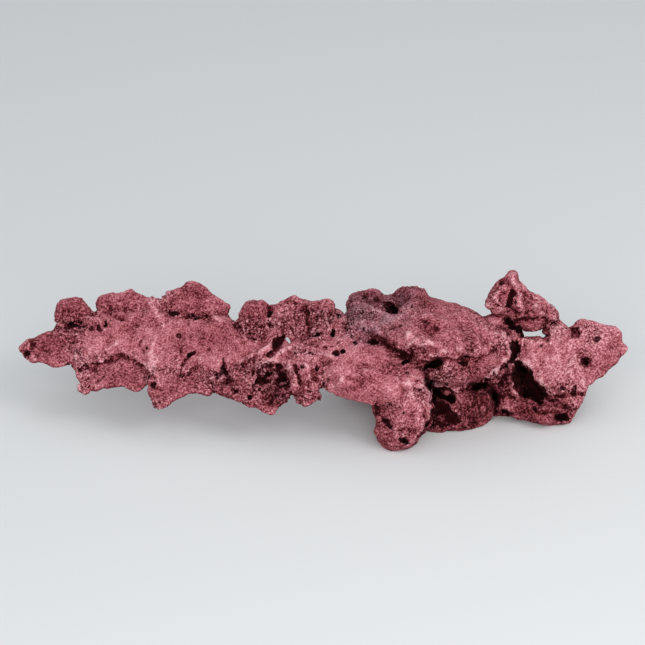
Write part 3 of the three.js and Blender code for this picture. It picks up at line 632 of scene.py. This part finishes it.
def roughOut(name, spec):  # the stone without its facets
    obj = newObject(name.replace("_", "-"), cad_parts[name].data.copy())
    weld = obj.modifiers.new("weld", "WELD")
    weld.merge_threshold = 0.01 * mm
    applied(obj)
    remesh(obj, skin["voxel"])
    smooth(obj, spec.get("even", 2))
    swell = skin["mortarSwell"] if spec["slot"] == "mortar" else skin["swell"]
    points = meshPoints(obj.data)
    swells = np.full(len(points), swell)
    for u, v, reach, extra in fills:
        swells += extra * bell(np.linalg.norm(faceSpots(points) - (u, v), axis=1), reach)
    moveTo(obj.data, points + meshNormals(obj.data) * swells[:, None] * mm)
    return obj


def joined(meshes):  # the points and faces of several meshes in one
    points, faces = [], []
    for mesh in meshes:
        first = len(points)
        points += [vert.co.copy() for vert in mesh.vertices]
        faces += [[first + index for index in side.vertices] for side in mesh.polygons]
    return points, faces


def treeOf(*meshes):
    return BVHTree.FromPolygons(*joined(meshes))


def fuse(parts):  # one skin that flows over all the stones
    points, faces = joined([part.data for part in parts])
    mesh = bpy.data.meshes.new("skin")
    mesh.from_pydata(points, [], faces)
    obj = newObject("skin", mesh)
    remesh(obj, skin["voxel"])
    smooth(obj, skin["blend"])
    return obj


def layOn(obj, tree):  # the stone's open faces lie on the shared skin, what is buried stays
    points = meshPoints(obj.data)
    found = [tree.find_nearest(point)[:2] for point in points.tolist()]
    near = np.array([hit for hit, normal in found])
    normals = np.array([normal for hit, normal in found])
    depth = np.einsum("ij,ij->i", near - points, normals) / mm
    share = 1 - eased(depth, *skin["deep"])
    moveTo(obj.data, points + (near - points) * share[:, None])


def nearest(points, tree, cell=1.5 * mm):  # distance and face, looked up once for each small cell of space
    cells, where = np.unique(np.round(points / cell).astype(int), axis=0, return_inverse=True)
    found = [tree.find_nearest(spot)[2:] for spot in (cells * cell).tolist()]
    gap = np.array([hit[1] for hit in found])
    side = np.array([hit[0] for hit in found])
    return gap[where.ravel()] / mm, side[where.ravel()]


def clear(obj):
    mesh = obj.data
    bpy.data.objects.remove(obj)
    bpy.data.meshes.remove(mesh)


dips = {  # each size of dip: the rounds of smoothing that show it, its scale in millimetres, and how much painted shade darkens it or painted highlight lightens a crest
    "fine": {"rounds": 4, "scale": 0.35, "darker": 0.45, "paler": 0.3},
    "wide": {"rounds": 26, "scale": 1.1, "darker": 0.45, "paler": 0.3},
    "bowl": {"rounds": 30, "scale": 2, "darker": 0.4, "paler": 0.3},
    "basin": {"rounds": 180, "scale": 5, "darker": 0.3, "paler": 0.3},
}


def hollowness(obj, kind):  # how far each point lies below its surroundings, in millimetres
    around = obj.copy()
    around.data = obj.data.copy()
    bpy.context.scene.collection.objects.link(around)
    smooth(around, dips[kind]["rounds"])
    dip = meshPoints(around.data) - meshPoints(obj.data)
    gap = np.einsum("ij,ij->i", dip, meshNormals(around.data)) / mm
    clear(around)
    return gap


def levelled(kind, value):  # how much painted shade darkens a dip of that size, or painted highlight lightens a crest
    dip = dips[kind]
    return np.tanh(value / dip["scale"]) * np.where(value > 0, dip["darker"], dip["paler"])


air = {  # rays that look for open air from each cell
    "cell": 3 * mm, "rays": 60, "turn": 2.4, "off": 1.5 * mm, "far": 60 * mm,
    "lowest": 0.15, "fromAbove": 0.5,
}


# used to paint shade where nearby rock hides the open air; rays from above weigh more, so undersides get more
# painted shade
def shelter(tree, points, normals):  # how much of the open air nearby rock hides, cell by cell
    cells = np.round(points / air["cell"]).astype(int)
    cells, first, where = np.unique(cells, axis=0, return_index=True, return_inverse=True)
    count = np.arange(air["rays"])
    turn = count * air["turn"]
    rise = (count + 0.5) / (air["rays"] / 2) - 1
    level = np.sqrt(1 - rise ** 2)
    rays = np.stack([np.cos(turn) * level, np.sin(turn) * level, rise], axis=1)
    hidden = np.zeros(len(cells))
    for index, spot in enumerate(first):
        lift = rays @ normals[spot]
        weights = lift * (1 + air["fromAbove"] * rise)
        start = points[spot] + normals[spot] * air["off"]
        used = np.flatnonzero(lift > air["lowest"])
        for ray, weight in zip(rays[used].tolist(), weights[used].tolist()):
            gap = tree.ray_cast(start, ray, air["far"])[3]
            if gap is not None:
                hidden[index] += weight * (1 - gap / air["far"])
        hidden[index] /= weights[used].sum()
    return hidden[where.ravel()]


def mark(mesh, name, values):
    layer = mesh.attributes.new(name, "FLOAT", "POINT")
    layer.data.foreach_set("value", values.astype(np.float32))


forms = {  # lumpy layers: size, and height in millimetres or how strongly they show
    "lump": (19 * mm, 2.0), "bump": (9 * mm, 1.3), "coarse": (2.8 * mm, 1.0), "sand": (1.8 * mm, 0.8),
    "hem": (14 * mm, 3), "fray": (5 * mm, 1.5), "region": (30 * mm, 1.0),
    "dusting": (55 * mm, 1.4), "cloud": (22 * mm, 0.8),
}
broke = {  # plates, chips and ridges, with heights and depths in millimetres
    "plate": {"size": 13 * mm, "height": 2.8, "crack": 0.8},
    "chip": {"size": 6 * mm, "height": 1.3, "crack": 0.5},
    "ridge": {"size": 5 * mm, "height": 2.2, "top": 0.28, "foot": -0.15},
}
openings = {  # cell, seed, share of the cells, smallest and largest radius; then depth in millimetres
    "hole": {"cells": (7 * mm, 50, 0.28, 0.8 * mm, 2.1 * mm), "depth": 3.4, "steep": 1.8, "from": 0.6},
    "pin": {"cells": (3.6 * mm, 60, 0.25, 0.6 * mm, 1.1 * mm), "depth": 1.6, "steep": 1.3, "least": 0.25},
    "pit": {"cells": (21 * mm, 70, 0.5, 2 * mm, 4.6 * mm), "depth": 4.5},
}
grains = {"least": 0.35, "whereBroken": 0.3, "pinDark": 0.7}
waves = {"size": 7 * mm, "away": 1.8, "seed": 900}
drawn = {"size": 38 * mm, "ways": ((0.8, 0, 0.6), (-0.5, 0, 0.87)), "share": 0.55}
bedding = {  # how mortar and stone meet, in millimetres, and how broken the rock is
    "edge": (-1, 5), "border": 5, "borderBroken": 0.6, "region": (0, 0.7), "regionBroken": 0.7,
    "mostBroken": 1.2, "mortarSmoother": 0.5,
}


def lumpy(kind, points, seed):
    size, height = forms[kind]
    return height * lumps(points, size, seed)


def makeup(points):  # how much mortar there is at each spot, and how broken the rock is there
    apart = nearest(points, trees["stone"])[0] - nearest(points, trees["mortar"])[0]
    mortar = eased(apart + lumpy("hem", points, 31) + lumpy("fray", points, 32), *bedding["edge"])
    border = np.exp(-np.abs(apart) / bedding["border"])
    mauve, shade, rubbly = tinted(points)
    region = eased(lumpy("region", points, 7), *bedding["region"])
    broken = region * bedding["regionBroken"] + bedding["borderBroken"] * border + rubbly
    broken = np.clip(broken, 0, bedding["mostBroken"]) * (1 - bedding["mortarSmoother"] * mortar)
    return mortar, broken, mauve, shade


def wavy(points):
    bends = [lumps(points, waves["size"], waves["seed"] + axis) for axis in range(3)]
    return points + np.stack(bends, axis=1) * waves["away"] * mm


def drawnOut(points):  # makes what is laid on them twice as long, along one of two slanting ways
    way = np.where(lumps(points, drawn["size"], 77)[:, None] > 0, *drawn["ways"])
    return points - way * (drawn["share"] * np.einsum("ij,ij->i", points, way))[:, None]


def relief(points, warped, broken):  # lumps, plates and chips, in millimetres
    long = drawnOut(warped)
    plate, chip, ridge = broke["plate"], broke["chip"], broke["ridge"]
    plates, cracks = flakes(long, plate["size"], 91)
    chips, seams = flakes(long, chip["size"], 94)
    crests = np.clip(ridge["top"] - np.abs(lumps(long, ridge["size"], 3)), ridge["foot"], 1)
    rubbly = (
        plate["height"] * plates - plate["crack"] * cracks + chip["height"] * chips
        - chip["crack"] * seams + ridge["height"] * crests
    )
    return lumpy("lump", points, 1) + lumpy("bump", warped, 2) + broken * rubbly


def grit(points, warped, broken):  # grains and small pores, in millimetres, and where the pores are
    holes, pins = openings["hole"], openings["pin"]
    hole = pores(warped, *holes["cells"]) * np.clip(holes["steep"] * broken - holes["from"], 0, 1)
    pin = pores(warped, *pins["cells"]) * np.clip(pins["steep"] * broken, pins["least"], 1)
    grain = lumpy("coarse", warped, 5) + lumpy("sand", points, 6)
    strength = grains["least"] + grains["whereBroken"] * broken
    height = strength * grain - holes["depth"] * hole - pins["depth"] * pin
    return height, np.maximum(hole, grains["pinDark"] * pin)


gloom = {  # from where to where each of them deepens the painted near-black shade in pits, holes, hollows and sheltered gaps
    "sunk": (2.4, 5), "below": (0.8, 3), "wall": (0.6, 1.4), "dark": (0.7, 0.95), "hidden": (0.7, 0.9),
    "hole": (0.2, 0.7), "wallShare": 0.92, "holeShare": 0.55, "lookedUp": 0.3,
}


def darkest(points, sunk, dark, hidden, hole):  # how near-black the painted shade is at each point, from how far down a pit, hollow or gap it lies
    low = sunk > gloom["lookedUp"]
    wall = np.zeros(len(points))
    wall[low] = 1 - eased(nearest(points[low], trees["pits"], 0.6 * mm)[0], *gloom["wall"])
    return np.maximum.reduce([
        eased(sunk, *gloom["sunk"]), gloom["wallShare"] * wall * eased(sunk, *gloom["below"]),
        eased(dark, *gloom["dark"]), eased(hidden, *gloom["hidden"]),
        gloom["holeShare"] * eased(hole, *gloom["hole"]),
    ])


marks = {  # where the show face begins, what is more broken, and how strongly each layer is painted, with the painted shade in sheltered places and inside hollows
    "front": (-0.6, 0.1), "crest": (1, 2.6), "crestBroken": 0.5, "backBroken": 0.25, "mostBroken": 1.2,
    "sheltered": (0.12, 0.7), "paintedShelterShade": 1.5, "paintedHollowShade": 2,
}


def detail(obj, spec):  # the fine mesh, and what the finish needs to know at each point
    remesh(obj, spec.get("voxel", skin["fine"]) * mm)
    smooth(obj, 1)
    points = meshPoints(obj.data)
    normals = meshNormals(obj.data)
    sunk, side = nearest(points, trees["skin"])
    mortar, broken, mauve, shade = makeup(points)
    facing = eased(normals @ np.array(outOfFace), *marks["front"])
    behind = 1 - facing
    crest = marks["crestBroken"] * eased(-bowls["bowl"][side], *marks["crest"])
    broken = np.clip(broken + crest + marks["backBroken"] * behind, 0, marks["mostBroken"])
    warped = wavy(points)
    gritty, hole = grit(points, warped, broken)
    pit = pores(warped, *openings["pit"]["cells"]) * behind
    height = relief(points, warped, broken) + gritty - openings["pit"]["depth"] * pit
    moveTo(obj.data, points + normals * height[:, None] * mm)

    # painted shade in dips, bowls and basins, and painted highlight on crests
    tone = -levelled("fine", hollowness(obj, "fine")) - levelled("wide", hollowness(obj, "wide"))
    tone -= levelled("bowl", bowls["bowl"][side]) + levelled("basin", bowls["basin"][side])
    hidden = sheltered[side]
    shown = facing > 0
    dark, pale = np.zeros((2, len(points)))
    dark[shown], pale[shown] = np.array(carved(points[shown])[1:]) * facing[shown]
    elsewhere = lumpy("dusting", points, 11) + lumpy("cloud", points, 12)
    # painted shade where nearby rock shelters the surface, under overhangs and in recesses
    mark(obj.data, "relief", tone - marks["paintedShelterShade"] * eased(hidden, *marks["sheltered"]))
    # painted shade: near-black deep in pits, holes, hollows and sheltered gaps
    mark(obj.data, "deep", darkest(points, sunk, dark, hidden, np.maximum(hole, pit)))
    mark(obj.data, "mortar", mortar)
    mark(obj.data, "broken", broken)
    mark(obj.data, "mauve", mauve * facing)
    # painted highlight and shade along the drawn lines, and painted shade inside the hollows, over the
    # painted tone
    mark(obj.data, "shade", shade * facing + pale - marks["paintedHollowShade"] * dark + behind * elsewhere)
    points = meshPoints(obj.data)
    points[:, 2] = np.maximum(points[:, 2], 0)  # nothing goes through the floor
    moveTo(obj.data, points)


def cadTree(slots):
    return treeOf(*[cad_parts[name].data for name, spec in stones.items() if spec["slot"] in slots])


trees = {"mortar": cadTree(["mortar"]), "stone": cadTree(["boulder", "mauve_boulder", "slab"])}
pieces = {name: roughOut(name, spec) for name, spec in stones.items()}
skinObject = fuse(pieces.values())
skinTree = treeOf(skinObject.data)
sculpt(skinObject.data)
trees["skin"] = treeOf(skinObject.data)
tool = pitTool(trees["skin"])
trees["pits"] = treeOf(tool.data)
skinPoints = meshPoints(skinObject.data)
skinNormals = meshNormals(skinObject.data)
skinRelief = relief(skinPoints, wavy(skinPoints), makeup(skinPoints)[1])
moveTo(skinObject.data, skinPoints + skinNormals * skinRelief[:, None] * mm)
corner = np.array([polygon.vertices[0] for polygon in skinObject.data.polygons])
bowls = {kind: hollowness(skinObject, kind)[corner] for kind in ("bowl", "basin")}  # face by face
# how sheltered each face is, which sets the painted shade in recesses and under overhangs
sheltered = shelter(trees["skin"], skinPoints, skinNormals)[corner]
print("skin", len(skinObject.data.polygons), "faces")
for name, piece in pieces.items():
    layOn(piece, skinTree)
    sculpt(piece.data)
    cut(piece, tool)
    detail(piece, stones[name])
    print(name, len(piece.data.polygons), "faces")
clear(skinObject)
clear(tool)

# the coat's colours, from the darkest tone to the palest
tones = {
    "pink": [
        (0.0, (0.030, 0.0025, 0.003)), (0.22, (0.13, 0.017, 0.022)), (0.45, (0.31, 0.072, 0.089)),
        (0.68, (0.50, 0.158, 0.186)), (0.88, (0.68, 0.28, 0.315)), (1.0, (0.84, 0.43, 0.465)),
    ],
    "mauve": [
        (0.0, (0.018, 0.004, 0.005)), (0.22, (0.078, 0.020, 0.027)), (0.45, (0.18, 0.066, 0.083)),
        (0.68, (0.32, 0.146, 0.168)), (0.88, (0.47, 0.235, 0.268)), (1.0, (0.62, 0.36, 0.395)),
    ],
}
looks = {
    "boulder": {"base": 0.445},
    "mauve_boulder": {"base": 0.445},
    "slab": {"base": 0.415},
    "mortar": {"base": 0.445},
}
# deep and deepest set how strongly, and in what near-black, the painted shade in pits and hollows is laid
coat = {  # the matt surface, and how strongly each painted layer shows
    "roughness": 0.93, "specular": 0.1, "bump": 1.6, "crumb": 0.5, "relief": 0.32, "shade": 0.24,
    "mortar": 0.1, "smoother": -0.4, "filled": 0.06, "deep": 0.97, "deepest": (0.012, 0.0008, 0.001, 1),
}
noises = {  # size in millimetres, detail and roughness
    "cloud": (14, 5, 0.6), "dust": (7, 5, 0.6), "vein": (5, 3, 0.5), "blotch": (4.5, 4, 0.6),
    "fine": (2.3, 4, 0.7), "crumb": (1.6, 1, 0.6),
}
ranges = {  # the lowest and highest value that is read, and what each of the two becomes
    "rougher": (-0.25, 1, 0.4, 1.35), "cloud": (0.3, 0.7, -0.12, 0.12), "blotch": (0.33, 0.45, -0.2, 0),
    "pore": (0.32, 0.46, -0.54, 0), "speck": (0.5, 0.64, 0, 0.31), "crumbly": (0, 1.35, 0.8, 1.1),
    "crumb": (0.38, 0.62, -0.19, 0.19), "vein": (0, 0.0014, -0.42, 0.03), "paintedTopLight": (-0.6, 1, -0.16, 0.12),
    "dust": (0.3, 0.6, 0.4, 1),
}


def finishOf(slot, look):
    material = bpy.data.materials.new(slot + "Finish")
    material.use_nodes = True
    nodes = material.node_tree.nodes
    links = material.node_tree.links
    surface = nodes["Principled BSDF"]
    surface.inputs["Roughness"].default_value = coat["roughness"]
    surface.inputs["Specular IOR Level"].default_value = coat["specular"]
    place = nodes.new("ShaderNodeTexCoord").outputs["Object"]

    def put(values, sockets):
        for value, socket in zip(values, sockets):
            if isinstance(value, bpy.types.NodeSocket):
                links.new(value, socket)
            else:
                socket.default_value = value

    def grain(kind):
        size, detail, rough = noises[kind]
        node = nodes.new("ShaderNodeTexNoise")
        sockets = [node.inputs[name] for name in ("Scale", "Detail", "Roughness", "Vector")]
        put((1 / (size * mm), detail, rough, place), sockets)
        return node.outputs["Fac"]

    def spread(value, kind):
        node = nodes.new("ShaderNodeMapRange")
        sockets = [node.inputs[name] for name in ("Value", "From Min", "From Max", "To Min", "To Max")]
        put((value, *ranges[kind]), sockets)
        return node.outputs["Result"]

    def times(first, second, kind="MULTIPLY"):
        node = nodes.new("ShaderNodeMath")
        node.operation = kind
        put((first, second), node.inputs)
        return node.outputs["Value"]

    def plus(total, *parts):
        for part in parts:
            total = times(total, part, "ADD")
        return total

    def blend(share, first, second):
        node = nodes.new("ShaderNodeMix")
        node.data_type = "RGBA"
        put((share, first, second), (node.inputs[0], node.inputs[6], node.inputs[7]))
        return node.outputs[2]

    def marked(name):
        node = nodes.new("ShaderNodeAttribute")
        node.attribute_name = name
        return node.outputs["Fac"]

    def ramp(value, stops):
        node = nodes.new("ShaderNodeValToRGB")
        stripe = node.color_ramp.elements
        while len(stripe) < len(stops):
            stripe.new(0.5)
        for element, (position, colour) in zip(stripe, stops):
            element.position = position
            element.color = (*colour, 1)
        links.new(value, node.inputs["Fac"])
        return node.outputs["Color"]

    facing = nodes.new("ShaderNodeNewGeometry")
    split = nodes.new("ShaderNodeSeparateXYZ")
    links.new(facing.outputs["Normal"], split.inputs[0])
    rougher = spread(plus(marked("broken"), times(marked("mortar"), coat["smoother"])), "rougher")
    fine = grain("fine")
    crumb = grain("crumb")
    vein = plus(grain("vein"), -0.5)  # 0 along each vein
    filled = times(marked("mortar"), coat["filled"])
    lifted = times(marked("mortar"), -coat["filled"])
    # relief and shade carry painted shade and highlight into the tone
    tone = plus(
        look["base"],
        times(marked("relief"), coat["relief"]),
        spread(grain("cloud"), "cloud"),
        times(rougher, spread(grain("blotch"), "blotch")),
        times(rougher, spread(plus(fine, filled), "pore")),
        times(rougher, spread(plus(fine, lifted), "speck")),
        times(spread(rougher, "crumbly"), spread(crumb, "crumb")),
        times(marked("broken"), spread(times(vein, vein), "vein")),
        # painted light: lighter where the surface turns up, darker on undersides
        spread(split.outputs["Z"], "paintedTopLight"),
        times(marked("shade"), coat["shade"]),
        times(marked("mortar"), coat["mortar"]),
    )
    dusty = times(marked("mauve"), spread(grain("dust"), "dust"))
    colour = blend(dusty, ramp(tone, tones["pink"]), ramp(tone, tones["mauve"]))
    # painted shade: pits, holes, hollows and sheltered gaps blend to near-black
    colour = blend(times(marked("deep"), coat["deep"]), colour, coat["deepest"])
    links.new(colour, surface.inputs["Base Color"])
    bump = nodes.new("ShaderNodeBump")
    bump.inputs["Strength"].default_value = 1.0
    bump.inputs["Distance"].default_value = coat["bump"] * mm
    links.new(times(rougher, plus(fine, times(crumb, coat["crumb"]))), bump.inputs["Height"])
    links.new(bump.outputs["Normal"], surface.inputs["Normal"])
    return material


finishes = {slot: finishOf(slot, look) for slot, look in looks.items()}

for name, piece in pieces.items():
    piece.data.materials.clear()
    piece.data.materials.append(finishes[stones[name]["slot"]])
    piece.data.shade_smooth()
    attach(piece, "root")
    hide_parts(name)

floor = {"half": 5.0, "colour": (0.74, 0.74, 0.735, 1), "roughness": 0.9}


def makeFloor():
    half = floor["half"]
    outline = [(-half, -half, 0), (half, -half, 0), (half, half, 0), (-half, half, 0)]
    mesh = bpy.data.meshes.new("floor")
    mesh.from_pydata(outline, [], [(0, 1, 2, 3)])
    material = bpy.data.materials.new("paleFloor")
    material.use_nodes = True
    surface = material.node_tree.nodes["Principled BSDF"]
    surface.inputs["Base Color"].default_value = floor["colour"]
    surface.inputs["Roughness"].default_value = floor["roughness"]
    mesh.materials.append(material)
    return newObject("floor", mesh)


makeFloor()

lights = {  # in metres and watts
    "overhead": {"place": (0.2, 0.05, 1.7), "aim": (0, 0, 0), "size": (3.2, 2.2), "power": 3},
    "window": {"place": (1.3, -0.8, 1.5), "aim": (0.1, 0, 0.05), "size": (1.1, 0.9), "power": 11},
    "front": {"place": (-0.2, -1.9, 1.1), "aim": (0, 0, 0.05), "size": (2.2, 1.2), "power": 22},
}
room = {"colour": (0.9, 0.95, 1, 1), "strength": 0.62}


def makeLight(name, spec):
    data = bpy.data.lights.new(name, "AREA")
    data.shape = "RECTANGLE"
    data.size, data.size_y = spec["size"]
    data.energy = spec["power"]
    light = newObject(name, data)
    light.visible_camera = False
    light.location = spec["place"]
    way = Vector(spec["aim"]) - Vector(spec["place"])
    light.rotation_euler = way.to_track_quat("-Z", "Y").to_euler()


for name, spec in lights.items():
    makeLight(name, spec)
world = bpy.data.worlds.new("room")
world.use_nodes = True
world.node_tree.nodes["Background"].inputs["Color"].default_value = room["colour"]
world.node_tree.nodes["Background"].inputs["Strength"].default_value = room["strength"]
bpy.context.scene.world = world
bpy.context.scene.view_settings.view_transform = "Standard"

# the camera looks straight at the leaning face, through a long lens
view = {"aim": onFace(*faceMiddle), "distance": eyeAway * mm, "across": 0.645, "clip": 20}
cameraData = bpy.data.cameras.new("camera")
cameraData.sensor_fit = "HORIZONTAL"
cameraData.angle = 2 * math.atan(view["across"] / 2 / view["distance"])
cameraData.clip_end = view["clip"]
camera = newObject("camera", cameraData)
camera.location = view["aim"] + outOfFace * view["distance"]
camera.rotation_euler = (math.pi / 2 - faceLean, 0, 0)
bpy.context.scene.camera = camera
print("floor, light and camera ready")
